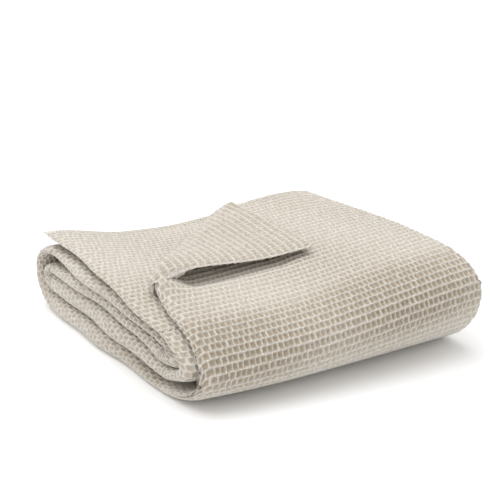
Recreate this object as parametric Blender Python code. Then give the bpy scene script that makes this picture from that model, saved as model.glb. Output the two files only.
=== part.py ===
"""A waffle-weave throw, folded into a strip and then into a stack of six layers.

Z is up, X runs along the long front fold and Y runs from the front to the back.
The stack is first laid out square and level, in its own plan coordinates, and
then settled: the soft pile leans, bows and sinks as a real one does.
"""
import math

import bmesh
import bpy
from mathutils import Vector

# Driving sizes, in metres
STRIP_WIDTH = 0.352      # the strip that the throw is first folded into
FRONT_LINE = 0.050       # where the layers turn into the front folds
BACK_LINE = 0.304        # where the layers turn into the back folds
FRONT_REACH = 0.072      # how far the outermost front fold stands out
FRONT_INNER_REACH = 0.038
BACK_REACH = 0.042       # how far the outermost back fold stands out
BACK_INNER_REACH = 0.024
BASE_THICK = 0.021       # the six layers, from the bottom one up
LOWER_THICK = 0.023
MIDDLE_THICK = 0.016
UPPER_THICK = 0.014
SECOND_THICK = 0.010
TOP_THICK = 0.014
FLAP_THICK = 0.007       # the corner that is turned over
HEM_WIDTH = 0.012
SECOND_END = 0.333       # back edge of the second leaf
TOP_END = 0.292          # back edge of the top leaf
GAP = 0.0006             # between cloth and cloth
TIGHT = 0.001            # the hollow left inside an innermost fold
MIDDLE_INSET, UPPER_INSET = 0.003, 0.002    # layers drawn in at the left
CREASE_POINT = (0.027, 0.112)   # front end of the turned corner's crease, in plan
CREASE_SLOPE = 0.88             # how far the crease runs back for each metre across
FLAP_LIFT = 0.008               # the pocket under the turned corner's free edge
TIP_LEG = 0.046                 # the free corner of the second leaf
TIP_THICK = 0.006
CREASE_TAPER = 0.006            # the crease's roll dies away before its front end
TOP_LEAD_IN = 0.016             # how far the top leaf's left edge is set in
TOP_LEAD_SLOPE = 0.10

# How the pile settles
BOW_LEFT, BOW_RIGHT, BOW_CENTRE = 0.010, 0.008, 0.36
LEFT_LEAN_FRONT, LEFT_LEAN_BACK = 0.008, -0.012
RIGHT_LEAN = 0.09
FRONT_SINK = 0.24
RIGHT_RISE = 0.13
BACK_LEFT_RISE = 0.007
BACK_RIGHT_SAG = 0.006
BACK_DIP = 0.013
ROLL_LEFT, ROLL_RIGHT = -0.003, 0.012
TOP_SHEAR = 0.026        # the top leaf's hem runs back towards the right

ORIGIN = (0.1709, 0.1620)  # plan position of the finished object's centre

# How finely the shapes are cut, so that they can follow the settled pile
CUTS_ACROSS = 7
RING_STEPS = 10
STATION_STEP = 0.028
FLAP_STEP = 0.030
CREASE_CUTS = 8
END_CLEARANCE = 0.014    # kept uncut next to a rounded end

LEVELS = [0.0]
for thick in (BASE_THICK, LOWER_THICK, MIDDLE_THICK, UPPER_THICK, SECOND_THICK, TOP_THICK):
    LEVELS.append(LEVELS[-1] + thick)
BASE, LOWER, MIDDLE, UPPER, SECOND, TOP = range(6)
STACK_HEIGHT = LEVELS[-1]
DEPTH = BACK_LINE + BACK_REACH

CREASE_RUN = Vector((1.0, CREASE_SLOPE)).normalized()
CREASE_START = Vector(CREASE_POINT)
CREASE_END = CREASE_START + CREASE_RUN * (TOP_END - CREASE_POINT[1]) / CREASE_RUN.y
TOP_CORNER = Vector((TOP_LEAD_IN + TOP_LEAD_SLOPE * TOP_END, TOP_END))


def ease(low, high, value):
    """0 below low, 1 above high, and smooth between."""
    t = min(max((value - low) / (high - low), 0.0), 1.0)
    return t * t * (3.0 - 2.0 * t)


def settle(point):
    """Plan coordinates of the square stack to the settled pile's."""
    x, y, z = point
    across = min(max(x / STRIP_WIDTH, -0.1), 1.1)
    back = y / DEPTH
    height = z / STACK_HEIGHT
    lean = LEFT_LEAN_FRONT + (LEFT_LEAN_BACK - LEFT_LEAN_FRONT) * back
    new_x = x + (1.0 - across) * lean - RIGHT_LEAN * y * across
    if across < BOW_CENTRE:
        bow = BOW_LEFT * ((across - BOW_CENTRE) / BOW_CENTRE) ** 2
    else:
        bow = BOW_RIGHT * ((across - BOW_CENTRE) / (1.0 - BOW_CENTRE)) ** 2
    new_y = y + bow * min(max(1.0 - back, 0.0), 1.0)
    scale = 1.0 - FRONT_SINK * (1.0 - ease(-0.02, 0.19, y)) * (1.0 - 0.75 * across)
    scale += RIGHT_RISE * ease(0.35, 1.0, across) * (1.0 - ease(0.06, 0.33, y))
    roll = ROLL_LEFT + (ROLL_RIGHT - ROLL_LEFT) * ease(-0.2, 1.1, across)
    new_z = z * scale
    new_z += roll * math.sin(math.pi * min(max(height, 0.0), 1.0)) * (1.0 - ease(0.0, 0.11, y))
    new_z += BACK_LEFT_RISE * (1.0 - ease(0.0, 0.5, across)) * ease(0.35, 1.0, back) * height
    dip = ease(0.0, 0.3, across) * (1.0 - ease(0.35, 0.75, across))
    new_z -= BACK_DIP * dip * ease(0.35, 1.0, back) * height
    new_z -= BACK_RIGHT_SAG * ease(0.45, 1.05, across) * ease(0.30, 1.0, back) * height
    return Vector((new_x - ORIGIN[0], new_y - ORIGIN[1], new_z))


def block(x0, x1, y0, y1, z0, z1):
    """A closed box from corner to corner."""
    bm = bmesh.new()
    bmesh.ops.create_cube(bm, size=1.0)
    size = Vector((x1 - x0, y1 - y0, z1 - z0))
    bmesh.ops.scale(bm, vec=size, verts=bm.verts)
    bmesh.ops.translate(bm, vec=Vector((x0, y0, z0)) + size / 2.0, verts=bm.verts)
    return bm


def cut(bm, point, normal, clear=False):
    """Cut across the whole shape. With clear, what lies beyond the plane goes and the cut is closed."""
    parts = bm.verts[:] + bm.edges[:] + bm.faces[:]
    made = bmesh.ops.bisect_plane(bm, geom=parts, dist=1e-6, plane_co=Vector(point),
                                  plane_no=Vector(normal), clear_outer=clear)
    if clear:
        edges = [e for e in made["geom_cut"] if isinstance(e, bmesh.types.BMEdge)]
        caps = bmesh.ops.contextual_create(bm, geom=edges)["faces"]
        bmesh.ops.triangulate(bm, faces=caps)


def round_ends(bm, x0, x1, thick):
    """Bullnose the two ends of a strip, where the cloth turns back on itself."""
    ends = [e for e in bm.edges
            if abs(e.verts[0].co.z - e.verts[1].co.z) < 1e-7
            and all(min(abs(v.co.x - x0), abs(v.co.x - x1)) < 1e-7 for v in e.verts)]
    bmesh.ops.bevel(bm, geom=ends, affect="EDGES", offset=0.42 * thick, segments=2,
                    profile=0.5, material=-1)


def stations(start, end, step):
    """Evenly spaced places strictly between start and end, on one grid for every layer."""
    first = int(math.floor(start / step)) + 1
    return [i * step for i in range(first, int(math.ceil(end / step)))
            if i * step > start + 0.25 * step and i * step < end - 0.25 * step]


def across_cuts(bm, x0, x1):
    """Cut a strip crosswise, clear of its rounded ends."""
    step = STRIP_WIDTH / (CUTS_ACROSS + 1)
    for place in stations(x0 + END_CLEARANCE, x1 - END_CLEARANCE, step):
        cut(bm, (place, 0.0, 0.0), (1.0, 0.0, 0.0))


def finish(bm, name, place, colour):
    """Move the shape to its place in the pile and make it an object."""
    for vert in bm.verts:
        vert.co = place(vert.co)
    if bm.calc_volume(signed=True) < 0.0:
        bmesh.ops.reverse_faces(bm, faces=bm.faces)
    mesh = bpy.data.meshes.new(name)
    bm.to_mesh(mesh)
    bm.free()
    mesh.shade_smooth()
    mesh.set_sharp_from_angle(angle=math.radians(40.0))
    piece = bpy.data.objects.new(name, mesh)
    bpy.context.scene.collection.objects.link(piece)
    material = bpy.data.materials.new(name + "_cloth")
    material.use_nodes = True
    shader = material.node_tree.nodes["Principled BSDF"]
    shader.inputs["Base Color"].default_value = (*colour, 1.0)
    shader.inputs["Roughness"].default_value = 0.95
    shader.inputs["Metallic"].default_value = 0.0
    mesh.materials.append(material)
    return piece


OATMEAL = (0.66, 0.60, 0.51)
SHADED = (0.52, 0.46, 0.38)


def layer_span(layer):
    """Lowest and highest level of one layer's cloth."""
    low = LEVELS[layer] + (GAP / 2.0 if layer else 0.0)
    return low, LEVELS[layer + 1] - GAP / 2.0


def panel(name, layer, x0, start, end, shift=None, trim=(), colour=OATMEAL):
    """One level layer of the strip between its folds."""
    low, high = layer_span(layer)
    bm = block(x0, STRIP_WIDTH, start, end, low, high)
    round_ends(bm, x0, STRIP_WIDTH, high - low)
    across_cuts(bm, x0, STRIP_WIDTH)
    for place in stations(start, end, STATION_STEP):
        cut(bm, (0.0, place, 0.0), (0.0, 1.0, 0.0))
    if shift:
        for vert in bm.verts:
            vert.co = shift(vert.co)
    for point, normal in trim:
        cut(bm, point, normal, clear=True)
    return finish(bm, name, settle, colour)


def fold(name, lower, upper, line, side, reach, inner_reach, x0=0.0, lead=0.0, colour=OATMEAL):
    """The half turn that joins a lower layer to an upper one at the front or the back."""
    low_out, low_in = layer_span(lower)
    high_in, high_out = layer_span(upper)
    thick = (high_out - high_in + low_in - low_out) / 2.0
    bm = block(x0, STRIP_WIDTH, 0.0, 1.0, 0.0, thick)
    round_ends(bm, x0, STRIP_WIDTH, thick)
    across_cuts(bm, x0, STRIP_WIDTH)
    for i in range(1, RING_STEPS):
        cut(bm, (0.0, i / RING_STEPS, 0.0), (0.0, 1.0, 0.0))

    def turn(co):
        out = co.z / thick
        low = low_in + (low_out - low_in) * out
        high = high_in + (high_out - high_in) * out
        stand = inner_reach + (reach - inner_reach) * out
        angle = math.pi * co.y
        along = line + side * (GAP / 2.0 + stand * math.sin(angle))
        level = (low + high) / 2.0 - (high - low) / 2.0 * math.cos(angle)
        x = co.x + lead * co.y * (1.0 - co.x / STRIP_WIDTH)
        return settle((x, along, level))

    return finish(bm, name, turn, colour)


def top_shift(co):
    """The top leaf's left edge is set in, and its hem runs back towards the right."""
    lead = TOP_LEAD_IN + TOP_LEAD_SLOPE * co.y
    x = co.x + lead * (1.0 - co.x / STRIP_WIDTH)
    past = max(0.0, (co.x - CREASE_END.x) / (STRIP_WIDTH - CREASE_END.x))
    y = co.y + TOP_SHEAR * past ** 2 * ease(0.20, TOP_END, co.y)
    return Vector((x, y, co.z))


def crease_normal():
    """Points from the crease towards the corner that was turned over."""
    return Vector((-CREASE_RUN.y, CREASE_RUN.x, 0.0))


def mirrored(point):
    """A plan point on the other side of the crease."""
    away = point - CREASE_START
    along = CREASE_RUN * away.dot(CREASE_RUN)
    return CREASE_START + 2.0 * along - away


def pocket(x, y):
    """How far the turned corner's free edge stands up off the top leaf."""
    tip = mirrored(TOP_CORNER)
    edge = tip - CREASE_START
    along = min(max((Vector((x, y)) - CREASE_START).dot(edge) / edge.length_squared, 0.0), 1.0)
    off = abs((Vector((x, y)) - CREASE_START - edge * along).length)
    return FLAP_LIFT * math.sin(math.pi * along ** 0.8) * (1.0 - ease(0.0, 0.085, off))


def flap_piece(name, hem, colour):
    """The turned corner's panel, or the hem along its other free edge."""
    tip = mirrored(TOP_CORNER)
    far = CREASE_END
    low = LEVELS[TOP + 1] + GAP / 2.0
    right = max(far.x, tip.x) + FLAP_STEP
    front = min(CREASE_START.y, tip.y) - FLAP_STEP
    bm = block(0.0, right, front, far.y + FLAP_STEP, low, low + FLAP_THICK)
    normal = crease_normal()
    start = Vector((*CREASE_START, 0.0)) - normal * GAP
    near = (tip - CREASE_START).normalized()
    back = (far - tip).normalized()
    hem_out = Vector((-back.y, back.x, 0.0))
    if hem_out.dot(Vector((*(CREASE_START - tip), 0.0))) > 0.0:
        hem_out = -hem_out
    hem_edge = Vector((*tip, 0.0))
    seam = hem_edge - hem_out * HEM_WIDTH
    for spot in stations(front, far.y + FLAP_STEP, FLAP_STEP):
        cut(bm, (0.0, spot, 0.0), (0.0, 1.0, 0.0))
    for spot in stations(0.0, right, FLAP_STEP):
        cut(bm, (spot, 0.0, 0.0), (1.0, 0.0, 0.0))
    cut(bm, start, normal, clear=True)
    near_out = Vector((near.y, -near.x, 0.0))
    cut(bm, Vector((*CREASE_START, 0.0)) + near_out * GAP, near_out, clear=True)
    if hem:
        cut(bm, hem_edge, hem_out, clear=True)
        cut(bm, seam + hem_out * GAP / 2.0, -hem_out, clear=True)
    else:
        cut(bm, seam - hem_out * GAP / 2.0, hem_out, clear=True)

    def place(co):
        return settle((co.x, co.y, co.z + pocket(co.x, co.y)))

    return finish(bm, name, place, colour)


def crease_roll(name, colour):
    """The soft roll where the corner turns over, from the leaf's underside to the flap's top."""
    low_out, low_in = layer_span(TOP)
    high_in = LEVELS[TOP + 1] + GAP / 2.0
    high_out = high_in + FLAP_THICK
    length = (CREASE_END - CREASE_START).length
    bm = block(CREASE_TAPER, length - CREASE_TAPER / 3.0, 0.0, 1.0, 0.0, 1.0)
    for i in range(1, CREASE_CUTS):
        cut(bm, (length * i / CREASE_CUTS, 0.0, 0.0), (1.0, 0.0, 0.0))
    for i in range(1, RING_STEPS):
        cut(bm, (0.0, i / RING_STEPS, 0.0), (0.0, 1.0, 0.0))
    normal = crease_normal()

    def place(co):
        low = low_in + (low_out - low_in) * co.z
        high = high_in + (high_out - high_in) * co.z
        stand = GAP + (high_out - low_out) / 2.0 * co.z
        angle = math.pi * co.y
        plan = CREASE_START + CREASE_RUN * co.x
        spot = Vector((*plan, 0.0)) + normal * (stand * math.sin(angle))
        return settle((spot.x, spot.y, (low + high) / 2.0 - (high - low) / 2.0 * math.cos(angle)))

    return finish(bm, name, place, colour)


def tip_piece(name, colour):
    """The second leaf's free corner, thin because only its hem lies there."""
    high = LEVELS[SECOND + 1] - GAP / 2.0
    bm = block(0.0, TIP_LEG, SECOND_END - TIP_LEG, SECOND_END, high - TIP_THICK, high)
    cut(bm, TIP_POINT - TIP_NORMAL * GAP / 2.0, TIP_NORMAL, clear=True)
    return finish(bm, name, settle, colour)


TIP_NORMAL = Vector((1.0, -1.0, 0.0)).normalized()
TIP_POINT = Vector((0.0, SECOND_END - TIP_LEG, 0.0))


def build():
    for old in list(bpy.data.objects):
        bpy.data.objects.remove(old, do_unlink=True)

    panel("base_panel", BASE, 0.0, FRONT_LINE, BACK_LINE, colour=SHADED)
    panel("lower_panel", LOWER, 0.0, FRONT_LINE, BACK_LINE)
    panel("middle_panel", MIDDLE, MIDDLE_INSET, FRONT_LINE, BACK_LINE, colour=SHADED)
    panel("upper_panel", UPPER, UPPER_INSET, FRONT_LINE, BACK_LINE)
    fold("back_outer_fold", BASE, UPPER, BACK_LINE, 1.0, BACK_REACH, BACK_REACH - UPPER_THICK)
    fold("back_inner_fold", LOWER, MIDDLE, BACK_LINE, 1.0, BACK_INNER_REACH, TIGHT)
    fold("front_inner_fold", MIDDLE, UPPER, FRONT_LINE, -1.0, FRONT_INNER_REACH, TIGHT)
    fold("front_middle_fold", LOWER, SECOND, FRONT_LINE, -1.0,
         FRONT_REACH - TOP_THICK - GAP, FRONT_INNER_REACH + GAP)
    fold("front_outer_fold", BASE, TOP, FRONT_LINE, -1.0, FRONT_REACH,
         FRONT_REACH - TOP_THICK, lead=TOP_LEAD_IN + TOP_LEAD_SLOPE * FRONT_LINE)

    keep_second = [(TIP_POINT + TIP_NORMAL * GAP / 2.0, -TIP_NORMAL)]
    seam = SECOND_END - HEM_WIDTH
    panel("second_leaf", SECOND, 0.0, FRONT_LINE, seam - GAP / 2.0, trim=keep_second)
    panel("second_leaf_hem", SECOND, 0.0, seam + GAP / 2.0, SECOND_END, trim=keep_second, colour=SHADED)
    tip_piece("back_corner_tip", OATMEAL)

    normal = crease_normal()
    keep_top = [(Vector((*CREASE_START, 0.0)) - normal * GAP, normal)]
    seam = TOP_END - HEM_WIDTH
    panel("top_leaf", TOP, 0.0, FRONT_LINE, seam - GAP / 2.0, shift=top_shift, trim=keep_top)
    panel("top_leaf_hem", TOP, 0.0, seam + GAP / 2.0, TOP_END, shift=top_shift, trim=keep_top,
          colour=SHADED)
    crease_roll("corner_crease", SHADED)
    flap_piece("corner_flap", False, OATMEAL)
    flap_piece("corner_flap_hem", True, SHADED)


build()
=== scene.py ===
"""A waffle-weave throw, folded into a stack of six soft layers with one corner turned over."""
import math

import bmesh
import bpy
import numpy as np
from mathutils import Matrix, Vector


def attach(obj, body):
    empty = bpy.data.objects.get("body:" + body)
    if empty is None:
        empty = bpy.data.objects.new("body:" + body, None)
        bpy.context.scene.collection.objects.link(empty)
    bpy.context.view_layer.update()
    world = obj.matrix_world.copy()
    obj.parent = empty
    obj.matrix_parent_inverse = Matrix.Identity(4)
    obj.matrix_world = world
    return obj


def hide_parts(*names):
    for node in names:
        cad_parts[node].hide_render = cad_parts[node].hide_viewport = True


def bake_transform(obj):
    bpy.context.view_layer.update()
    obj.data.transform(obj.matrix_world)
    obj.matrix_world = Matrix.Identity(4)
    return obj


bl_info = {
    "name": "Folded Waffle Throw",
    "version": (1, 0, 0),
    "blender": (4, 5, 0),
    "location": "3D View > Sidebar > Throw",
    "description": "Makes a folded waffle-weave throw over its working frame",
    "category": "Add Mesh",
}

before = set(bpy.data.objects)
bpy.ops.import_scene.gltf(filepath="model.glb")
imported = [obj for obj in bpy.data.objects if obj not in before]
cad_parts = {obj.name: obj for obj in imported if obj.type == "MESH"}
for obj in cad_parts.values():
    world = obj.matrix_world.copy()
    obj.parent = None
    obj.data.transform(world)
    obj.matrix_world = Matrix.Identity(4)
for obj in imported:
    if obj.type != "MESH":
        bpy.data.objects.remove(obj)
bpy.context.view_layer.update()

# The stack's own plan: X along the front fold, Y from front to back, Z up, in metres.
# Lines are where the folds begin, and a reach is how far a fold stands out past its line.
STRIP_WIDTH = 0.352
FRONT_LINE = 0.050
BACK_LINE = 0.304
FRONT_REACH = 0.072
FRONT_INNER_REACH = 0.038
BACK_REACH = 0.042
BACK_INNER_REACH = 0.024
LEVELS = np.cumsum([0.0, 0.021, 0.023, 0.016, 0.014, 0.010, 0.014])
BASE, LOWER, MIDDLE, UPPER, SECOND, TOP = range(6)
STACK_HEIGHT = LEVELS[-1]
DEPTH = BACK_LINE + BACK_REACH
SECOND_END = 0.333
TOP_END = 0.292
CLEARANCE = 0.0004
TOP_LEAD_IN = 0.016
TOP_LEAD_SLOPE = 0.10
TOP_SHEAR = 0.026
ORIGIN = (0.1709, 0.1620)

# The cloth: a layer's thickness at its rounded edges, a fold's cloth and the gap to the next
LAYER_THICK = 0.016
INNER_THICK = 0.014
INNER_SET_IN = 0.002
FOLD_THICK = 0.014
FOLD_GAP = 0.0006

# The hems: their width, how much of the waffle shows on them, and the stitches' place
HEM_WIDTH = 0.012
HEM_RELIEF = 0.45
STITCHES_IN = 0.0030

# The turned corner: how far its edge stands up and runs over, and how the top leaf meets it
FLAP_THICK = 0.007
CREASE_GAP = 0.0006
FLAP_STAND = 0.0105
FLAP_OVERRUN = 0.06
MOUTH_DEPTH = 0.0065
SWELL_PLACE, SWELL_HEIGHT = 0.010, 0.010
CREASE_START = np.array([0.027, 0.112])
CREASE_RUN = np.array([1.0, 0.88]) / math.hypot(1.0, 0.88)
CREASE_END = CREASE_START + CREASE_RUN * (TOP_END - CREASE_START[1]) / CREASE_RUN[1]
CREASE_NORMAL = np.array([-CREASE_RUN[1], CREASE_RUN[0]])
TOP_CORNER = np.array([TOP_LEAD_IN + TOP_LEAD_SLOPE * TOP_END, TOP_END])

# How the pile settles
BOW_LEFT, BOW_RIGHT, BOW_CENTRE = 0.010, 0.008, 0.36
LEFT_LEAN_FRONT, LEFT_LEAN_BACK = 0.008, -0.012
LOOP_BULGE, TIP_SET_IN = -0.006, 0.004
RIGHT_LEAN = 0.09
FRONT_SINK = 0.24
RIGHT_RISE = 0.13
BACK_LEFT_RISE = 0.009
BACK_RIGHT_SAG = 0.006
TOP_LOFT = 0.009
BACK_DIP = 0.013
ROLL_LEFT, ROLL_RIGHT = -0.003, 0.012

# Where the mesh lines stand inside one waffle cell, as shares of the cell
FINE_ALONG = (0.0, 0.24, 0.39, 0.50, 0.61, 0.76)
FINE_ACROSS = (0.0, 0.10, 0.25, 0.40, 0.50, 0.60, 0.75, 0.90)
EVEN_ACROSS = (0.0, 0.12, 0.34, 0.50, 0.62, 0.84)
LIGHT_ACROSS = (0.0, 0.25, 0.50, 0.75)
COARSE_ACROSS = (0.0,)

# How much of a cell's depth is a round bowl, and how narrow the end caps are cut
BOWL = 0.45
CAP_SLAB = 0.024

# The camera: the place it looks at, its turn and lift, and how far its aim stands off that place
CAMERA_LOOK = (0.0041, -0.0120, 0.045)
CAMERA_TURN, CAMERA_LIFT = math.radians(-29.0), math.radians(22.0)
CAMERA_DISTANCE, CAMERA_LENS = 1.6, 104.7
AIM_UP, AIM_LEFT = 0.0462, 0.0132

# Flecks of yarn in each metre, along a yarn and across it
YARN_LONG, YARN_FINE = 300.0, 1100.0


def ease(low, high, value):
    """0 below low, 1 above high, and smooth between."""
    t = np.clip((value - low) / (high - low), 0.0, 1.0)
    return t * t * (3.0 - 2.0 * t)


def settle(points):
    """Plan coordinates of the square stack to the settled pile's place.

    The pair of numbers in each ease() says where a change begins and ends: as shares of the stack
    for across, back and height, and in metres for y.
    """
    x, y, z = points[..., 0], points[..., 1], points[..., 2]
    across = np.clip(x / STRIP_WIDTH, -0.1, 1.1)
    back = y / DEPTH
    height = z / STACK_HEIGHT
    lean = LEFT_LEAN_FRONT + (LEFT_LEAN_BACK - LEFT_LEAN_FRONT) * back
    lean = lean + back * (LOOP_BULGE + (TIP_SET_IN - LOOP_BULGE) * ease(0.66, 0.86, height))
    new_x = x + (1.0 - across) * lean - RIGHT_LEAN * y * across
    bow = np.where(across < BOW_CENTRE,
                   BOW_LEFT * ((across - BOW_CENTRE) / BOW_CENTRE) ** 2,
                   BOW_RIGHT * ((across - BOW_CENTRE) / (1.0 - BOW_CENTRE)) ** 2)
    new_y = y + bow * np.clip(1.0 - back, 0.0, 1.0)
    scale = 1.0 - FRONT_SINK * (1.0 - ease(-0.02, 0.19, y)) * (1.0 - 0.75 * across)
    scale = scale + RIGHT_RISE * ease(0.35, 1.0, across) * (1.0 - ease(0.06, 0.33, y))
    roll = ROLL_LEFT + (ROLL_RIGHT - ROLL_LEFT) * ease(-0.2, 1.1, across)
    new_z = z * scale
    new_z = new_z + roll * np.sin(np.pi * np.clip(height, 0.0, 1.0)) * (1.0 - ease(0.0, 0.11, y))
    new_z = new_z + BACK_LEFT_RISE * (1.0 - ease(0.0, 0.5, across)) * ease(0.35, 1.0, back) * height
    dip = ease(0.0, 0.3, across) * (1.0 - ease(0.45, 0.85, across))
    new_z = new_z - BACK_DIP * dip * ease(0.35, 1.0, back) * height
    new_z = new_z - BACK_RIGHT_SAG * ease(0.45, 1.05, across) * ease(0.30, 1.0, back) * height
    loft = ease(0.30, 0.62, across) * (1.0 - 0.6 * ease(0.8, 1.05, across))
    new_z = new_z + TOP_LOFT * loft * ease(0.40, 0.85, back) * ease(0.84, 0.95, height)
    return np.stack([new_x - ORIGIN[0], new_y - ORIGIN[1], new_z], axis=-1)


def layer_span(layer, x=STRIP_WIDTH, y=0.0):
    """Lowest and highest level of one layer's cloth, in metres.

    At the open end some layers are thinner, by the depth given for each, which leaves the hollows
    between them.
    """
    low, high = LEVELS[layer] + (CLEARANCE if layer else 0.0), LEVELS[layer + 1] - CLEARANCE
    front_left = (1.0 - ease(0.06, 0.16, y)) * (1.0 - ease(0.02, 0.13, x))
    back_left = ease(0.24, 0.31, y) * (1.0 - ease(0.02, 0.10, x))
    if layer == BASE:
        high = high - 0.006 * front_left
    if layer == LOWER:
        low = low + 0.003 * front_left
    if layer == MIDDLE:
        high = high - 0.005 * back_left
    if layer == UPPER:
        low = low + 0.004 * back_left
    if layer == SECOND:
        low = low + 0.0045 * (1.0 - ease(0.004, 0.034, x))
    return low, high


def loosen(layer, x, y):
    """The layers' open ends don't lie quite in line."""
    sway = 0.0022 * np.sin(23.0 * y + 2.1 * layer) + 0.0012 * np.sin(61.0 * y + 1.3 * layer)
    return x + sway * (1.0 - ease(0.0, 0.08, x))


def marks(start, end, pitch, shares):
    """Places from start to end that follow the cells' own lines."""
    first, last = int(math.floor(start / pitch)), int(math.ceil(end / pitch))
    places = [(k + share) * pitch for k in range(first, last + 1) for share in shares]
    inside = [p for p in places if start + 0.02 * pitch < p < end - 0.02 * pitch]
    return [start, *inside, end]


def uneven(index_a, index_b):
    """A steady value from 0 to 1 for each cell, different from its neighbours'."""
    value = np.sin(index_a * 12.9898 + index_b * 78.233) * 43758.5453
    return value - np.floor(value)


def relief(across, along, sizes):
    """Height of the waffle from 0, a cell's floor, to 1, the crest of a ridge.

    Places across and along are in cells. Every other row stands half a cell over, and the waves and
    uneven() keep rows and cells from being quite alike.
    """
    row = np.round(along)
    along = along + 0.016 * np.sin(2.3 * across + 5.1 * row)
    along = along + 0.012 * np.sin(0.9 * across - 2.7 * row)
    from_row = np.abs(along - np.floor(along) - 0.5) * sizes.cell_along
    shifted = across + 0.5 * np.mod(row, 2.0) + 0.07 * np.sin(7.7 * row + 1.9 * np.round(across))
    from_column = np.abs(shifted - np.round(shifted)) * sizes.cell_across
    row_ridge = np.exp(-(from_row / sizes.ridge_width) ** 2)
    column_ridge = 0.80 * np.exp(-(from_column / (0.78 * sizes.ridge_width)) ** 2)
    row_ridge = row_ridge * (0.86 + 0.14 * uneven(np.floor(along), np.round(across)))
    column_ridge = column_ridge * (0.75 + 0.25 * uneven(row, np.round(shifted) + 7.0))
    ridge = 1.0 - (1.0 - row_ridge) * (1.0 - column_ridge)
    slope = 1.0 - 2.0 * np.minimum(from_row / sizes.cell_along, from_column / sizes.cell_across)
    return (1.0 - BOWL) * ridge + BOWL * slope


def mirrored(plan):
    """A plan point on the other side of the crease."""
    away = plan - CREASE_START
    along = (away @ CREASE_RUN)[..., None] * CREASE_RUN
    return CREASE_START + 2.0 * along - away


def beside_edge(plan):
    """Place along the turned corner's free edge from 0 to 1, and the distance from it."""
    edge = mirrored(TOP_CORNER) - CREASE_START
    share = np.clip(((plan - CREASE_START) @ edge) / (edge @ edge), 0.0, 1.0)
    return share, np.linalg.norm(plan - CREASE_START - edge * share[..., None], axis=-1)


def mouth(x, y):
    """The top leaf gives way a little under the turned corner's free edge."""
    share, off = beside_edge(np.stack(np.broadcast_arrays(x, y), axis=-1))
    edge = mirrored(TOP_CORNER) - CREASE_START
    inside = (edge[0] * (y - CREASE_START[1]) - edge[1] * (x - CREASE_START[0])) > 0.0
    width = np.where(inside, 0.045, 0.009)
    narrowing = 1.0 - 0.6 * ease(0.25, 0.70, share) - 0.4 * ease(0.80, 1.0, share)
    opening = ease(0.14, 0.26, share) * narrowing
    return MOUTH_DEPTH * opening * np.exp(-(off / width) ** 2)


def swell(x, y):
    """Where the crease begins, the top leaf's own edge rises into the turned corner."""
    edge = mirrored(TOP_CORNER) - CREASE_START
    middle = CREASE_START + SWELL_PLACE * edge / np.linalg.norm(edge)
    off = np.hypot(x - middle[0], y - middle[1])
    return SWELL_HEIGHT * np.exp(-(off / 0.017) ** 2)


def pocket(plan):
    """How far the turned corner's free edge stands up off the top leaf."""
    share, off = beside_edge(plan)
    opening = ease(0.0, 0.17, share) * (1.0 - 0.62 * ease(0.22, 0.85, share))
    return FLAP_STAND * opening * (1.0 - ease(0.0, 0.085, off))


class Leg:
    """A level stretch of the strip, or a half turn between two layers.

    A turn holds its lower and upper layer, the fold's line, its side, its outer and inner reach,
    whether the cloth runs upwards, and a pinch that draws the fold in. A shift moves the leg's plan.
    """

    def __init__(self, flip, layer=None, start=0.0, end=0.0, turn=None, shift=None):
        self.flip, self.layer, self.start, self.end = flip, layer, start, end
        self.turn, self.shift = turn, shift

    def place(self, q, x, w):
        """Plan coordinates at q along the leg, x across it and w through its thickness."""
        out = 1.0 - w if self.flip else w
        if self.turn is None:
            y = self.start + (self.end - self.start) * q
            low, high = layer_span(self.layer, x, y)
            z = low + (high - low) * out
            x = loosen(self.layer, x, y)
        else:
            lower, upper, line, side, reach, inner, upward, pinch = self.turn
            low_out, low_in = layer_span(lower, x, line)
            high_in, high_out = layer_span(upper, x, line)
            low = low_in + (low_out - low_in) * out
            high = high_in + (high_out - high_in) * out
            share = q if upward else 1.0 - q
            x = loosen(lower, x, line) * (1.0 - share) + loosen(upper, x, line) * share
            angle = np.pi * share
            stand = inner + (reach * (1.0 - pinch(share, x)) - inner) * out
            y = line + side * stand * np.sin(angle)
            z = (low + high) / 2.0 - (high - low) / 2.0 * np.cos(angle)
        if self.shift is not None:
            x, y = self.shift(q, x, y)
        if self.layer == TOP:
            z = z + (swell(x, y) - mouth(x, y)) * out
        return np.stack([x + 0.0 * y, y + 0.0 * x, z + 0.0 * x], axis=-1)


def no_pinch(share, x):
    """The fold keeps its full reach; share, which runs from 0, low on the fold, to 1, is not used here.
    """
    return 0.0


def middle_pinch(share, x):
    """The middle fold draws in low down at its left end, and leaves a pocket there."""
    return 0.24 * np.exp(-((share - 0.18) / 0.17) ** 2) * (1.0 - ease(0.02, 0.13, x))


def inner_pinch(share, x):
    """The inner back fold leaves a hollow under the loop round it."""
    return 0.16 * np.exp(-((share - 0.66) / 0.2) ** 2)


def top_shift(q, x, y):
    """The top leaf's left edge is set in, and its hem runs back towards the right."""
    lead = TOP_LEAD_IN + TOP_LEAD_SLOPE * y
    past = np.maximum(0.0, (x - CREASE_END[0]) / (STRIP_WIDTH - CREASE_END[0]))
    return (x + lead * (1.0 - x / STRIP_WIDTH),
            y + TOP_SHEAR * past ** 2 * (1.0 - 0.55 * ease(0.72, 1.0, past)) * ease(0.20, TOP_END, y))


def front_shift(q, x, y):
    """The front fold's left edge comes in as it rises to meet the top leaf."""
    lead = (TOP_LEAD_IN + TOP_LEAD_SLOPE * FRONT_LINE) * q
    return x + lead * (1.0 - x / STRIP_WIDTH), y


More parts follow.
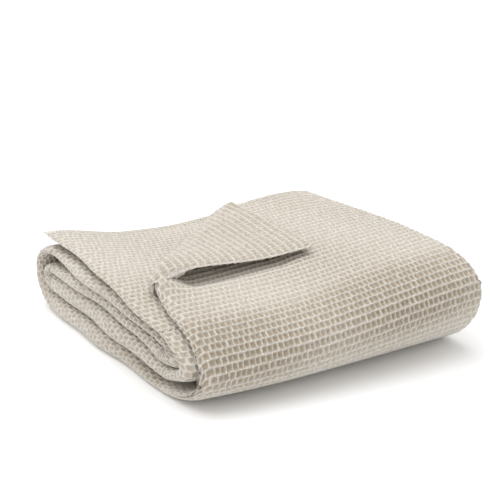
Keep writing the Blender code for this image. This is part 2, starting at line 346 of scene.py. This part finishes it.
def section(thick, x0, fine_top, fine_bottom, under_left, edge_cells, sizes):
    """The outline of a strip cut across.

    Gives the distance round it in cells, the place across the strip, the share of its thickness and
    how strongly the waffle shows there.
    """
    # The left end is a plain round edge, and at the right the plies show as three soft lobes
    left_depth, right_depth = 0.62 * thick, 0.50 * thick
    angle = np.linspace(0.5 * np.pi, -0.5 * np.pi, 61)
    rise = 0.5 + 0.5 * np.sin(angle)
    left_x = x0 + left_depth * (1.0 - np.cos(angle)) * (1.0 + 0.35 * np.maximum(np.sin(angle), 0.0))
    centre = np.where(rise > 0.5, np.where(rise > 0.75, 0.875, 0.625), 0.25)
    half = np.where(rise > 0.5, 0.125, 0.25)
    lobe = np.sqrt(np.maximum(1.0 - ((rise - centre) / half) ** 2, 0.0))
    right_x = STRIP_WIDTH - right_depth * (1.0 - np.cos(angle)) - 0.10 * thick * (1.0 - lobe)
    plain = 0.5 * np.pi * thick * 1.06
    fall = np.linspace(0.0, plain, len(angle))
    top_run = right_x[0] - left_x[0]
    half_run = 0.5 * (right_x[-1] - left_x[-1])
    # The tables run once round, from the middle of the underside and back to it
    table_k = np.concatenate([[-plain - half_run], -fall[::-1], top_run + fall,
                              [top_run + plain + half_run]])
    table_x = np.concatenate([[left_x[-1] + half_run], left_x[::-1], right_x,
                              [right_x[-1] - half_run]])
    table_w = np.concatenate([[0.0], rise[::-1], rise, [0.0]])
    pitch = sizes.cell_across
    edge = edge_cells * pitch
    under = max(edge, under_left)
    stops = [(-plain - half_run, -plain - under, fine_bottom),
             (-plain - under, -plain - edge, LIGHT_ACROSS),
             (-plain - edge, edge, FINE_ACROSS),
             (edge, top_run - edge, fine_top),
             (top_run - edge, top_run + plain + edge, FINE_ACROSS),
             (top_run + plain + edge, top_run + plain + half_run, fine_bottom)]
    places, strength = [], []
    for low, high, shares in stops:
        if high - low < 0.1 * pitch:
            continue
        run = marks(low, high, pitch if len(shares) > 1 else 3.0 * pitch, shares)
        drop = 0 if not places else 1
        places += run[drop:]
        strength += [0.0 if len(shares) < 4 else 1.0] * len(run[drop:])
    # The waffle fades out over a few lines where the mesh turns coarse
    places, strength = np.array(places), np.array(strength)
    kernel = np.ones(9) / 9.0
    soft = np.convolve(np.pad(strength, 4, mode="edge"), kernel, mode="valid")
    strength = np.where(strength > 0.0, soft, 0.0)
    return (places / pitch, np.interp(places, table_k, table_x),
            np.interp(places, table_k, table_w), strength)


def run_table(legs, x, w):
    """Distance along the cloth against place along its legs, at one place across."""
    steps = np.linspace(0.0, len(legs), 60 * len(legs) + 1)
    points = settle(lay(legs, steps, np.full_like(steps, x), np.full_like(steps, w)))
    length = np.concatenate([[0.0], np.cumsum(np.linalg.norm(np.diff(points, axis=0), axis=1))])
    return length, steps


def lay(legs, steps, x, w):
    """Plan coordinates at places along several legs."""
    out = np.zeros(np.broadcast(steps, x, w).shape + (3,))
    steps, x, w = np.broadcast_arrays(steps, x, w)
    for number, leg in enumerate(legs):
        here = (steps >= number) & ((steps < number + 1) if number + 1 < len(legs) else True)
        if here.any():
            out[here] = leg.place(steps[here] - number, x[here], w[here])
    return out


def spots_of(mesh):
    """A mesh's points as rows of three numbers."""
    spots = np.empty(len(mesh.vertices) * 3, np.float32)
    mesh.vertices.foreach_get("co", spots)
    return spots.reshape(-1, 3)


def place_spots(mesh, spots):
    """Puts a mesh's points at new places."""
    mesh.vertices.foreach_set("co", spots.astype(np.float32).ravel())


def add_piece(name, mesh):
    """A new object that holds a mesh, a light or a camera."""
    piece = bpy.data.objects.new(name, mesh)
    bpy.context.scene.collection.objects.link(piece)
    return piece


def close_ends(bm):
    """Marks the end caps' rims sharp, and cuts the caps into narrow slabs that can bend."""
    ends = [f for f in bm.faces if len(f.verts) > 8]
    rims = dict.fromkeys(e for f in ends for e in f.edges)
    for edge in rims:
        edge.smooth = False
    slabs = ends + list(rims) + list(dict.fromkeys(v for f in ends for v in f.verts))
    for x in np.arange(CAP_SLAB, STRIP_WIDTH, CAP_SLAB):
        slabs = bmesh.ops.bisect_plane(bm, geom=slabs, dist=1e-7, plane_co=(x, 0.0, 0.0),
                                       plane_no=(1.0, 0.0, 0.0))["geom"]
    bmesh.ops.triangulate(bm, faces=[f for f in bm.faces if len(f.verts) > 4], ngon_method="BEAUTY")


def outward_normals(points):
    """Unit normals of a grid whose two long sides meet, pointing away from its middle."""
    before, after = np.roll(points[:, :-1], 1, axis=1), np.roll(points[:, :-1], -1, axis=1)
    round_way = after - before
    round_way = np.concatenate([round_way, round_way[:, :1]], axis=1)
    normal = np.cross(round_way, np.gradient(points, axis=0))
    length = np.linalg.norm(normal, axis=-1, keepdims=True)
    normal = np.where(length > 1e-12, normal / np.maximum(length, 1e-12), 0.0)
    middle = points.mean(axis=1, keepdims=True)
    outward = ((points - middle) * normal).sum(-1)[len(points) // 2].sum()
    return -normal if outward < 0.0 else normal


def weave(name, points, across, along, depth, sizes, cuts=()):
    """A closed sheet from a grid whose two long sides meet, with the waffle raised on it and painted
    shade stored for its cells.

    Its sides are joined, its ends closed and its cuts made while the stack is still square. Then
    it settles.
    """
    rows, columns = points.shape[:2]
    crest = relief(across, along, sizes)
    shift = -(1.0 - crest) * depth
    points = points + outward_normals(points) * shift[..., None]
    points[:, -1] = points[:, 0]
    bm = bmesh.new()
    bmesh.ops.create_grid(bm, x_segments=columns - 1, y_segments=rows - 1, size=0.5)
    mesh = bpy.data.meshes.new(name)
    bm.to_mesh(mesh)
    bm.free()
    spots = spots_of(mesh)
    i = np.rint((spots[:, 0] + 0.5) * (columns - 1)).astype(int)
    j = np.rint((spots[:, 1] + 0.5) * (rows - 1)).astype(int)
    place_spots(mesh, points[j, i])
    # Painted shade: the deeper a cell is cut, the darker its floor is coloured, through the crest
    # attribute and the cloth's ramp
    shade = 1.0 - (1.0 - crest) * np.clip(depth / sizes.depth, 0.35, 1.3)
    for label, values in (("crest", shade), ("across", across * sizes.cell_across),
                          ("along", along * sizes.cell_along)):
        layer = mesh.attributes.new(label, "FLOAT", "POINT")
        values = np.broadcast_to(values, (rows, columns))[j, i]
        layer.data.foreach_set("value", values.astype(np.float32))
    mesh.shade_smooth()
    bm = bmesh.new()
    bm.from_mesh(mesh)
    rim = [v for v in bm.verts if v.is_boundary]
    bmesh.ops.remove_doubles(bm, verts=rim, dist=1e-7)
    loops = [e for e in bm.edges if e.is_boundary]
    bmesh.ops.holes_fill(bm, edges=loops, sides=0)
    for point, direction in cuts:
        parts = bm.verts[:] + bm.edges[:] + bm.faces[:]
        made = bmesh.ops.bisect_plane(bm, geom=parts, dist=1e-6, plane_co=Vector(point),
                                      plane_no=Vector(direction), clear_outer=True)
        edges = [e for e in made["geom_cut"] if isinstance(e, bmesh.types.BMEdge)]
        bmesh.ops.contextual_create(bm, geom=edges)
    bm.normal_update()
    close_ends(bm)
    if bm.calc_volume(signed=True) < 0.0:
        bmesh.ops.reverse_faces(bm, faces=bm.faces)
    bm.to_mesh(mesh)
    bm.free()
    place_spots(mesh, settle(spots_of(mesh).astype(float)))
    mesh.update()
    return add_piece(name, mesh)


def strip(name, legs, thick, x0, sizes, fine_top=COARSE_ACROSS, fine_bottom=COARSE_ACROSS,
          hem_end=False, first_row=0, base_depth=1.0, fold_depth=0.0, even=False, cuts=(),
          flat_below=False, under_left=0.0, edge_cells=5):
    """A stretch of the folded strip as one closed sheet with rounded edges.

    first_row carries the weave on from the stretch before. base_depth and fold_depth set how deep the
    cells are, and so how much painted shade their floors get; even keeps the rows evenly spaced at
    every place across, and flat_below fades the cells and their painted shade out where the cloth
    rests on the floor.
    """
    across, x, w, strength = section(thick, x0, fine_top, fine_bottom, under_left, edge_cells, sizes)
    length, steps = run_table(legs, 0.3 * STRIP_WIDTH, 1.0)
    cells = max(1, int(round(length[-1] / sizes.cell_along)))
    unit = length[-1] / cells
    rows = np.array([k + share for k in range(cells) for share in FINE_ALONG] + [float(cells)])
    thin = np.ones_like(rows)
    if hem_end:
        tail = 1.0 - np.linspace(0.0, 1.0, 7) ** 2
        edge = 0.45 * thick / unit
        rows = np.concatenate([rows[rows < cells - edge - 0.04], cells - edge * tail])
        thin = np.where(rows > cells - edge,
                        np.sqrt(np.maximum(1.0 - ((rows - cells + edge) / edge) ** 2, 0.03)), 1.0)
    distance = rows * unit
    place = np.interp(distance, length, steps)[:, None] + 0.0 * x[None, :]
    if even:
        for column in range(len(x)):
            own, _ = run_table(legs, x[column], w[column] if w[column] > 0.5 else 1.0)
            spare = own[-1] - length[-1]
            to_go = length[-1] - distance
            gone = (own[-1] - to_go) - spare * ease(0.55, 1.0, 1.0 - distance / length[-1])
            place[:, column] = np.interp(gone, own, steps)
    rise = 0.5 + (w[None, :] - 0.5) * thin[:, None]
    points = lay(legs, place, x[None, :] + 0.0 * place, rise)
    depth = sizes.depth * base_depth * strength[None, :] * np.minimum(1.0, thin[:, None] * 1.2)
    depth = depth * (0.88 + 0.12 * np.sin(31.0 * points[..., 0] + 17.0 * points[..., 1]))
    part = distance / length[-1]
    middle = ease(0.25, 0.65, part) * (1.0 - ease(0.80, 1.0, part))
    # Around the front fold the cells are cut deeper, and their floors get darker painted shade with it
    fold_deepening = fold_depth * (middle - 1.0 + ease(0.15, 0.60, part))
    depth = depth * (1.0 + fold_deepening)[:, None]
    if flat_below:
        depth = depth * ease(-0.002, 0.010, points[..., 2])
    piece = weave(name, points, across[None, :] + 0.0 * place,
                  (rows + first_row)[:, None] + 0.0 * place, depth, sizes, cuts)
    return piece, first_row + cells, length[-1]


def stitches(name, layer, y, sizes, shift=None):
    """A row of short stitches along a hem, each a flattened bead of thread."""
    left_end, right_end, off_crease, thread_half = 0.014, 0.008, 0.010, 0.0005
    leg = Leg(False, layer=layer, start=y, end=y, shift=shift)
    size = Matrix.Diagonal((0.36 * sizes.stitch_pitch, thread_half, thread_half, 1.0))
    bm = bmesh.new()
    for x in np.arange(left_end, STRIP_WIDTH - right_end, sizes.stitch_pitch):
        if layer == TOP and (np.array([x, y]) - CREASE_START) @ CREASE_NORMAL > -off_crease:
            continue
        spot = Matrix.Translation(leg.place(np.array(0.0), np.array(x), np.array(1.0)))
        bmesh.ops.create_icosphere(bm, subdivisions=1, radius=1.0, matrix=spot @ size)
    for vert in bm.verts:
        vert.co = Vector(settle(np.array(vert.co, float)))
    mesh = bpy.data.meshes.new(name)
    bm.to_mesh(mesh)
    bm.free()
    mesh.shade_smooth()
    piece = add_piece(name, mesh)
    piece.data.materials.append(thread(sizes))
    return piece


def level(layer, flip, start, end, shift=None):
    """A level stretch of one layer, from start to end; flip is for cloth that lies face down."""
    return Leg(flip, layer=layer, start=start, end=end, shift=shift)


def turn(flip, lower, upper, line, side, reach, inner, upward, pinch=no_pinch, shift=None):
    """A half turn from one layer to another, at the front with side -1 and at the back with 1."""
    return Leg(flip, turn=(lower, upper, line, side, reach, inner, upward, pinch), shift=shift)


def cloth(name, sizes):
    """Oatmeal cotton and linen with flecked yarn: a painted highlight makes the ridges paler and
    painted shade makes the cells deeper.
    """
    if name in bpy.data.materials:
        return bpy.data.materials[name]
    material = bpy.data.materials.new(name)
    material.use_nodes = True
    nodes, links = material.node_tree.nodes, material.node_tree.links
    shader = nodes["Principled BSDF"]
    shader.inputs["Roughness"].default_value = 0.92
    shader.inputs["Specular IOR Level"].default_value = 0.18
    shader.inputs["Sheen Weight"].default_value = 0.18
    shader.inputs["Sheen Roughness"].default_value = 0.55
    crest, across, along = (nodes.new("ShaderNodeAttribute") for _ in range(3))
    crest.attribute_name, across.attribute_name, along.attribute_name = "crest", "across", "along"
    place = nodes.new("ShaderNodeCombineXYZ")
    links.new(across.outputs["Fac"], place.inputs["X"])
    links.new(along.outputs["Fac"], place.inputs["Y"])
    # The ramp paints shade into the cells' floors and a highlight onto the ridges, with a half-shaded
    # tone between, following the crest attribute
    shades = nodes.new("ShaderNodeValToRGB")
    between = [0.5 * c + 0.5 * r for c, r in zip(sizes.shaded_cell_colour, sizes.lit_ridge_colour)]
    shades.color_ramp.elements[0].position = 0.0
    shades.color_ramp.elements[0].color = (*sizes.shaded_cell_colour, 1.0)
    shades.color_ramp.elements[1].position = 0.92
    shades.color_ramp.elements[1].color = (*sizes.lit_ridge_colour, 1.0)
    shades.color_ramp.elements.new(0.50).color = (*between, 1.0)
    yarn = nodes.new("ShaderNodeMix")
    yarn.data_type = "FLOAT"
    yarn.inputs["Factor"].default_value = 0.5
    for side, scale in (("A", (YARN_LONG, YARN_FINE, 1.0)), ("B", (YARN_FINE, YARN_LONG, 1.0))):
        stretch = nodes.new("ShaderNodeMapping")
        stretch.inputs["Scale"].default_value = scale
        links.new(place.outputs["Vector"], stretch.inputs["Vector"])
        fleck = nodes.new("ShaderNodeTexNoise")
        fleck.inputs["Scale"].default_value = 1.0
        fleck.inputs["Detail"].default_value = 3.0
        links.new(stretch.outputs["Vector"], fleck.inputs["Vector"])
        links.new(fleck.outputs["Fac"], yarn.inputs[side])
    # Yarn flecks break up the edge between the painted shade and the painted highlight
    flecked_shade = nodes.new("ShaderNodeMath")
    flecked_shade.operation = "MULTIPLY_ADD"
    flecked_shade.inputs[1].default_value = 0.9
    links.new(yarn.outputs["Result"], flecked_shade.inputs[0])
    links.new(crest.outputs["Fac"], flecked_shade.inputs[2])
    evened = nodes.new("ShaderNodeMath")
    evened.operation = "SUBTRACT"
    evened.inputs[1].default_value = 0.45
    links.new(flecked_shade.outputs["Value"], evened.inputs[0])
    links.new(evened.outputs["Value"], shades.inputs["Fac"])
    tone = nodes.new("ShaderNodeMapRange")
    tone.inputs["From Min"].default_value = 0.30
    tone.inputs["From Max"].default_value = 0.70
    tone.inputs["To Min"].default_value = 0.74
    tone.inputs["To Max"].default_value = 1.24
    links.new(yarn.outputs["Result"], tone.inputs["Value"])
    tinted = nodes.new("ShaderNodeVectorMath")
    tinted.operation = "SCALE"
    links.new(shades.outputs["Color"], tinted.inputs["Vector"])
    links.new(tone.outputs["Result"], tinted.inputs["Scale"])
    links.new(tinted.outputs["Vector"], shader.inputs["Base Color"])
    bump = nodes.new("ShaderNodeBump")
    bump.inputs["Strength"].default_value = 0.55
    bump.inputs["Distance"].default_value = 0.0007
    links.new(yarn.outputs["Result"], bump.inputs["Height"])
    links.new(bump.outputs["Normal"], shader.inputs["Normal"])
    return material


def thread(sizes):
    """Twisted sewing thread in the cloth's own shade."""
    name = "sewing_thread"
    if name in bpy.data.materials:
        return bpy.data.materials[name]
    material = bpy.data.materials.new(name)
    material.use_nodes = True
    nodes, links = material.node_tree.nodes, material.node_tree.links
    shader = nodes["Principled BSDF"]
    shader.inputs["Roughness"].default_value = 0.7
    place = nodes.new("ShaderNodeTexCoord")
    twist = nodes.new("ShaderNodeTexWave")
    twist.bands_direction = "DIAGONAL"
    twist.inputs["Scale"].default_value = 700.0
    twist.inputs["Distortion"].default_value = 1.5
    links.new(place.outputs["Object"], twist.inputs["Vector"])
    shades = nodes.new("ShaderNodeValToRGB")
    # The thread's tones come from the ridge colour, which carries the painted highlight
    shades.color_ramp.elements[0].color = (*[0.82 * c for c in sizes.lit_ridge_colour], 1.0)
    shades.color_ramp.elements[1].color = (*[1.10 * c for c in sizes.lit_ridge_colour], 1.0)
    links.new(twist.outputs["Fac"], shades.inputs["Fac"])
    links.new(shades.outputs["Color"], shader.inputs["Base Color"])
    bump = nodes.new("ShaderNodeBump")
    bump.inputs["Strength"].default_value = 0.5
    bump.inputs["Distance"].default_value = 0.0002
    links.new(twist.outputs["Fac"], bump.inputs["Height"])
    links.new(bump.outputs["Normal"], shader.inputs["Normal"])
    return material


def dress(piece, sizes, nodes, slot="waffle_cloth"):
    """Gives a piece its cloth and hides the frame nodes that it stands for."""
    name = {"waffle_cloth": "oatmeal_waffle", "hem_cloth": "turned_hem"}[slot]
    piece.data.materials.append(cloth(name, sizes))
    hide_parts(*nodes)


def front_legs():
    """The half turn from under the stack up to the top leaf."""
    return [turn(False, BASE, TOP, FRONT_LINE, -1.0, FRONT_REACH, FRONT_REACH - FOLD_THICK, True,
                 shift=front_shift)]


class ThrowSizes(bpy.types.PropertyGroup):
    """The weave's sizes and the cloth's colours, with a painted highlight on the ridges and painted
    shade in the cells.
    """

    cell_across: bpy.props.FloatProperty(
        name="Cell across", description="Width of one waffle cell",
        default=0.0064, min=0.003, unit="LENGTH", precision=4)
    cell_along: bpy.props.FloatProperty(
        name="Cell along", description="Length of one waffle cell",
        default=0.0085, min=0.003, unit="LENGTH", precision=4)
    ridge_width: bpy.props.FloatProperty(
        name="Ridge width", description="Half width of a raised ridge",
        default=0.00085, min=0.0003, unit="LENGTH", precision=5)
    depth: bpy.props.FloatProperty(
        name="Cell depth", description="Depth of a cell's floor under its ridges",
        default=0.0030, min=0.0, unit="LENGTH", precision=4)
    stitch_pitch: bpy.props.FloatProperty(
        name="Stitch pitch", description="Length of one hem stitch and gap",
        default=0.0042, min=0.002, unit="LENGTH", precision=4)
    # The cloth's colour with a painted highlight, as if the raised ridges catch the light
    lit_ridge_colour: bpy.props.FloatVectorProperty(
        name="Ridge colour", description="Colour of the raised yarns",
        default=(0.680, 0.644, 0.588), size=3, min=0.0, max=1.0, subtype="COLOR")
    # The cloth's colour with painted shade, as if the cells' floors lie in the ridges' shadow
    shaded_cell_colour: bpy.props.FloatVectorProperty(
        name="Cell colour", description="Colour of the cells' floors",
        default=(0.385, 0.322, 0.244), size=3, min=0.0, max=1.0, subtype="COLOR")


class THROW_OT_base_layers(bpy.types.Operator):
    """The bottom layer and the outer back fold"""

    bl_idname = "throw.base_layers"
    bl_label = "Base and back fold"

    def execute(self, context):
        sizes = context.scene.throw_sizes
        piece, row, length = strip("base_layer", [level(BASE, True, FRONT_LINE, BACK_LINE)],
                                   LAYER_THICK, 0.0, sizes, flat_below=True)
        dress(piece, sizes, ("base_panel",))
        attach(piece, "stack")
        legs = [turn(False, BASE, UPPER, BACK_LINE, 1.0, BACK_REACH, BACK_REACH - FOLD_THICK, True)]
        piece, _, length = strip("back_fold", legs, LAYER_THICK, 0.0, sizes, fine_top=EVEN_ACROSS,
                                 first_row=row, flat_below=True)
        dress(piece, sizes, ("back_outer_fold",))
        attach(piece, "stack")
        return {"FINISHED"}


class THROW_OT_inner_layers(bpy.types.Operator):
    """The layers inside the stack"""

    bl_idname = "throw.inner_layers"
    bl_label = "Inner layers"

    def execute(self, context):
        sizes = context.scene.throw_sizes
        legs = [level(UPPER, False, BACK_LINE, FRONT_LINE),
                turn(False, MIDDLE, UPPER, FRONT_LINE, -1.0, FRONT_INNER_REACH, 0.001, False),
                level(MIDDLE, True, FRONT_LINE, BACK_LINE)]
        piece, _, length = strip("inner_layers", legs, INNER_THICK, INNER_SET_IN, sizes, edge_cells=4)
        dress(piece, sizes, ("upper_panel", "front_inner_fold", "middle_panel"))
        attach(piece, "stack")
        legs = [turn(False, LOWER, MIDDLE, BACK_LINE, 1.0, BACK_INNER_REACH, 0.001, False, inner_pinch),
                level(LOWER, True, BACK_LINE, FRONT_LINE)]
        piece, row, length = strip("lower_layers", legs, LAYER_THICK, 0.0, sizes)
        dress(piece, sizes, ("lower_panel", "back_inner_fold"))
        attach(piece, "stack")
        legs = [turn(False, LOWER, SECOND, FRONT_LINE, -1.0, FRONT_REACH - FOLD_THICK - FOLD_GAP,
                     FRONT_INNER_REACH + FOLD_GAP, True, middle_pinch)]
        piece, _, length = strip("middle_front_fold", legs, LAYER_THICK, 0.0, sizes,
                                 fine_top=EVEN_ACROSS, first_row=row)
        dress(piece, sizes, ("front_middle_fold",))
        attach(piece, "stack")
        return {"FINISHED"}


class THROW_OT_second_leaf(bpy.types.Operator):
    """The second leaf, its hem and its free corner"""

    bl_idname = "throw.second_leaf"
    bl_label = "Second leaf"

    def execute(self, context):
        sizes = context.scene.throw_sizes
        seam = SECOND_END - HEM_WIDTH
        piece, row, length = strip("second_leaf_sheet", [level(SECOND, False, FRONT_LINE, seam)],
                                   LAYER_THICK, 0.0, sizes, fine_top=EVEN_ACROSS, under_left=0.06)
        dress(piece, sizes, ("second_leaf", "back_corner_tip"))
        hem, _, _ = strip("second_leaf_edge", [level(SECOND, False, seam, SECOND_END)], LAYER_THICK,
                          0.0, sizes, fine_top=EVEN_ACROSS, hem_end=True, first_row=row,
                          base_depth=HEM_RELIEF)
        dress(hem, sizes, ("second_leaf_hem",), "hem_cloth")
        sewing = stitches("second_leaf_stitches", SECOND, seam + STITCHES_IN, sizes)
        for part in (piece, hem, sewing):
            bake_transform(part)
        return {"FINISHED"}


class THROW_OT_top_leaf(bpy.types.Operator):
    """The top leaf, its hem and the broad front fold"""

    bl_idname = "throw.top_leaf"
    bl_label = "Top leaf and front fold"

    def execute(self, context):
        sizes = context.scene.throw_sizes
        piece, row, length = strip("front_fold", front_legs(), LAYER_THICK, 0.0, sizes,
                                   fine_top=FINE_ACROSS, fine_bottom=LIGHT_ACROSS, even=True,
                                   flat_below=True, fold_depth=0.45)
        dress(piece, sizes, ("front_outer_fold",))
        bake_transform(piece)
        inward = (*CREASE_NORMAL, 0.0)
        start = (*(CREASE_START - CREASE_NORMAL * CREASE_GAP), 0.0)
        seam = TOP_END - HEM_WIDTH
        leaf, row, length = strip("top_leaf_sheet", [level(TOP, False, FRONT_LINE, seam, top_shift)],
                                  LAYER_THICK, 0.0, sizes, fine_top=FINE_ACROSS,
                                  fine_bottom=LIGHT_ACROSS, first_row=row,
                                  cuts=[(start, inward)])
        dress(leaf, sizes, ("top_leaf",))
        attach(leaf, "top_leaf")
        hem, _, _ = strip("top_leaf_edge", [level(TOP, False, seam, TOP_END, top_shift)], LAYER_THICK,
                          0.0, sizes, fine_top=EVEN_ACROSS, fine_bottom=LIGHT_ACROSS, hem_end=True,
                          first_row=row, base_depth=HEM_RELIEF, cuts=[(start, inward)])
        dress(hem, sizes, ("top_leaf_hem",), "hem_cloth")
        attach(hem, "top_leaf")
        sewing = stitches("top_leaf_stitches", TOP, seam + STITCHES_IN, sizes, top_shift)
        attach(sewing, "top_leaf")
        return {"FINISHED"}


class THROW_OT_corner(bpy.types.Operator):
    """The corner that is turned over, with its crease"""

    bl_idname = "throw.corner"
    bl_label = "Turned corner"

    def execute(self, context):
        sizes = context.scene.throw_sizes
        tip, far = mirrored(TOP_CORNER), CREASE_END
        tip = tip + (tip - CREASE_START) * FLAP_OVERRUN
        low_out, low_in = layer_span(TOP)
        high_in = LEVELS[TOP + 1] + CLEARANCE
        high_out = high_in + FLAP_THICK
        edge_round, tip_round = 0.0045, 0.0035
        line_gap, under_gap = 0.00095, 0.0015
        edge = tip - CREASE_START
        rise = abs((far - CREASE_START) @ np.array([-edge[1], edge[0]])) / np.linalg.norm(edge)
        s = np.concatenate([edge_round * (1.0 - np.cos(np.linspace(0.0, 0.5 * np.pi, 7))),
                            np.arange(edge_round + 0.001, rise - 0.001, line_gap),
                            [rise - 0.0005]]) / rise
        nose, blunt = (np.sqrt(np.clip(1.0 - (1.0 - np.minimum(s * rise / size, 1.0)) ** 2, 0.0, 1.0))
                       for size in (2.0 * edge_round, edge_round))
        width = np.linalg.norm(tip - CREASE_START)
        top_u = np.linspace(0.0, 1.0, int(width / line_gap))[:-5]
        side_angle = np.linspace(0.5 * np.pi, -0.5 * np.pi, 9)
        side_u = 1.0 - tip_round / width + tip_round / width * np.cos(side_angle)
        top_u = top_u[top_u < side_u[0] - 0.002]
        bottom_u = np.linspace(side_u[-1], 0.0, int(width / under_gap))[1:]
        roll = np.linspace(0.0, np.pi, 15)[:-1]
        columns = [("roll", angle, 1.0) for angle in roll]
        columns += [("flat", u, 1.0) for u in top_u]
        columns += [("flat", u, 0.5 + 0.5 * math.sin(angle)) for u, angle in zip(side_u, side_angle)]
        columns += [("flat", u, 0.0) for u in bottom_u]
        columns += [("roll", angle, 0.0) for angle in roll[::-1][::2]]
        columns.append(columns[0])
        count = len(columns)
        # Rows run from the crease's front end to its far end, and columns round the cloth
        points = np.zeros((len(s), count, 3))
        plan = np.zeros((len(s), count, 2))
        crease = CREASE_START + (far - CREASE_START) * s[:, None]
        hem_side = tip + (far - tip) * s[:, None]
        taper = ease(0.0, 0.05, s)
        thinning = 1.0 - 0.8 * ease(0.6, 1.0, s)
        puff = 0.6 * ease(0.15, 0.55, s) * (1.0 - ease(0.85, 1.0, s))
        for number, (kind, value, w) in enumerate(columns):
            near = 1.0 - ease(0.02, 0.16, 0.0 if kind == "roll" else value)
            thin = nose * near + blunt * (1.0 - near)
            thin[-1] = 0.15
            share = 0.5 + (w - 0.5) * thin
            if kind == "roll":
                low = low_in + (low_out - low_in) * share
                high = high_in + (high_out - high_in) * share * thinning
                stand = (CREASE_GAP + (high_out - low_out) / 2.0 * share) * (0.45 + 0.55 * taper + puff)
                spot = crease + CREASE_NORMAL * (stand * math.sin(value))[:, None]
                z = (low + high) / 2.0 - (high - low) / 2.0 * math.cos(value)
                lift = pocket(spot) * (0.5 - 0.5 * math.cos(value))
            else:
                spot = crease + (hem_side - crease) * value
                z = high_in + (high_out - high_in) * share * thinning
                closed = ease(0.09, 0.27, value)
                lift = pocket(spot) * (closed + (1.0 - closed) * share)
            points[:, number, :2] = spot
            points[:, number, 2] = z + lift
            plan[:, number] = spot
        back = mirrored(plan)
        roll_turn = np.array([c[1] / np.pi if c[0] == "roll" else 1.0 for c in columns])
        # The weave goes on from the top leaf's, as if the corner still lay flat beyond the crease
        length, _ = run_table(front_legs(), 0.3 * STRIP_WIDTH, 1.0)
        row0 = round(length[-1] / sizes.cell_along)
        weave_at = np.where(roll_turn[None, :, None] < 0.5, plan, back)
        across = weave_at[..., 0] / sizes.cell_across
        along = row0 + (weave_at[..., 1] - FRONT_LINE) / sizes.cell_along
        blunt[-1] = 0.0
        depth = sizes.depth * np.minimum(blunt * 1.2, 1.0)[:, None] * np.ones((1, count))
        shown = [0.0 if kind == "roll" and w < 0.4 else 1.0 for kind, _, w in columns]
        depth = depth * np.array(shown)[None, :]
        piece = weave("turned_corner", points, across, along, depth, sizes)
        dress(piece, sizes, ("corner_crease", "corner_flap", "corner_flap_hem"))
        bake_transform(piece)
        return {"FINISHED"}


class THROW_OT_stage(bpy.types.Operator):
    """Floor, light and camera"""

    bl_idname = "throw.stage"
    bl_label = "Stage"

    def execute(self, context):
        scene = context.scene
        bm = bmesh.new()
        bmesh.ops.create_grid(bm, x_segments=1, y_segments=1, size=6.0)
        mesh = bpy.data.meshes.new("floor")
        bm.to_mesh(mesh)
        bm.free()
        floor = add_piece("floor", mesh)
        paper = bpy.data.materials.new("pale_floor")
        paper.use_nodes = True
        shader = paper.node_tree.nodes["Principled BSDF"]
        shader.inputs["Base Color"].default_value = (0.97, 0.97, 0.97, 1.0)
        shader.inputs["Roughness"].default_value = 0.9
        mesh.materials.append(paper)
        world = bpy.data.worlds.new("studio")
        world.use_nodes = True
        sky = world.node_tree.nodes["Background"]
        sky.inputs["Color"].default_value = (1.0, 1.0, 1.0, 1.0)
        sky.inputs["Strength"].default_value = 0.84
        scene.world = world
        scene.view_settings.view_transform = "Standard"
        for name, place, aim, size, power in (
                ("key_light", (-0.4, 0.5, 2.4), (0.0, 0.0, 0.05), 3.0, 48.0),
                ("fill_light", (-0.3, -1.8, 0.9), (0.0, 0.0, 0.05), 1.5, 0.5)):
            light = bpy.data.lights.new(name, "AREA")
            light.energy, light.size = power, size
            lamp = add_piece(name, light)
            lamp.location = place
            lamp.rotation_euler = (Vector(aim) - Vector(place)).to_track_quat("-Z", "Y").to_euler()
        look = Vector(CAMERA_LOOK)
        back = Vector((math.sin(CAMERA_TURN) * math.cos(CAMERA_LIFT),
                       -math.cos(CAMERA_TURN) * math.cos(CAMERA_LIFT), math.sin(CAMERA_LIFT)))
        right = Vector((math.cos(CAMERA_TURN), math.sin(CAMERA_TURN), 0.0))
        upward = back.cross(right)
        data = bpy.data.cameras.new("camera")
        data.lens, data.sensor_width = CAMERA_LENS, 36.0
        camera = add_piece("camera", data)
        camera.location = look + back * CAMERA_DISTANCE
        aim = look + upward * AIM_UP - right * AIM_LEFT
        camera.rotation_euler = (aim - camera.location).to_track_quat("-Z", "Y").to_euler()
        scene.camera = camera
        return {"FINISHED"}


class THROW_PT_panel(bpy.types.Panel):
    """The throw's pieces, in the order that they are made"""

    bl_idname = "THROW_PT_panel"
    bl_label = "Folded Throw"
    bl_space_type = "VIEW_3D"
    bl_region_type = "UI"
    bl_category = "Throw"

    def draw(self, context):
        for name in ThrowSizes.__annotations__:
            self.layout.prop(context.scene.throw_sizes, name)
        for maker in MAKERS:
            self.layout.operator(maker.bl_idname)


MAKERS = (THROW_OT_base_layers, THROW_OT_inner_layers, THROW_OT_second_leaf, THROW_OT_top_leaf,
          THROW_OT_corner, THROW_OT_stage)


def register():
    """Registers the sizes, the makers and the panel."""
    for kind in (ThrowSizes, *MAKERS, THROW_PT_panel):
        bpy.utils.register_class(kind)
    bpy.types.Scene.throw_sizes = bpy.props.PointerProperty(type=ThrowSizes)


def unregister():
    """Takes them away again."""
    del bpy.types.Scene.throw_sizes
    for kind in reversed((ThrowSizes, *MAKERS, THROW_PT_panel)):
        bpy.utils.unregister_class(kind)


def main():
    """Makes the throw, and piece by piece."""
    register()
    bpy.ops.throw.base_layers()
    bpy.ops.throw.inner_layers()
    bpy.ops.throw.second_leaf()
    bpy.ops.throw.top_leaf()
    bpy.ops.throw.corner()
    bpy.ops.throw.stage()


if __name__ == "__main__":
    main()
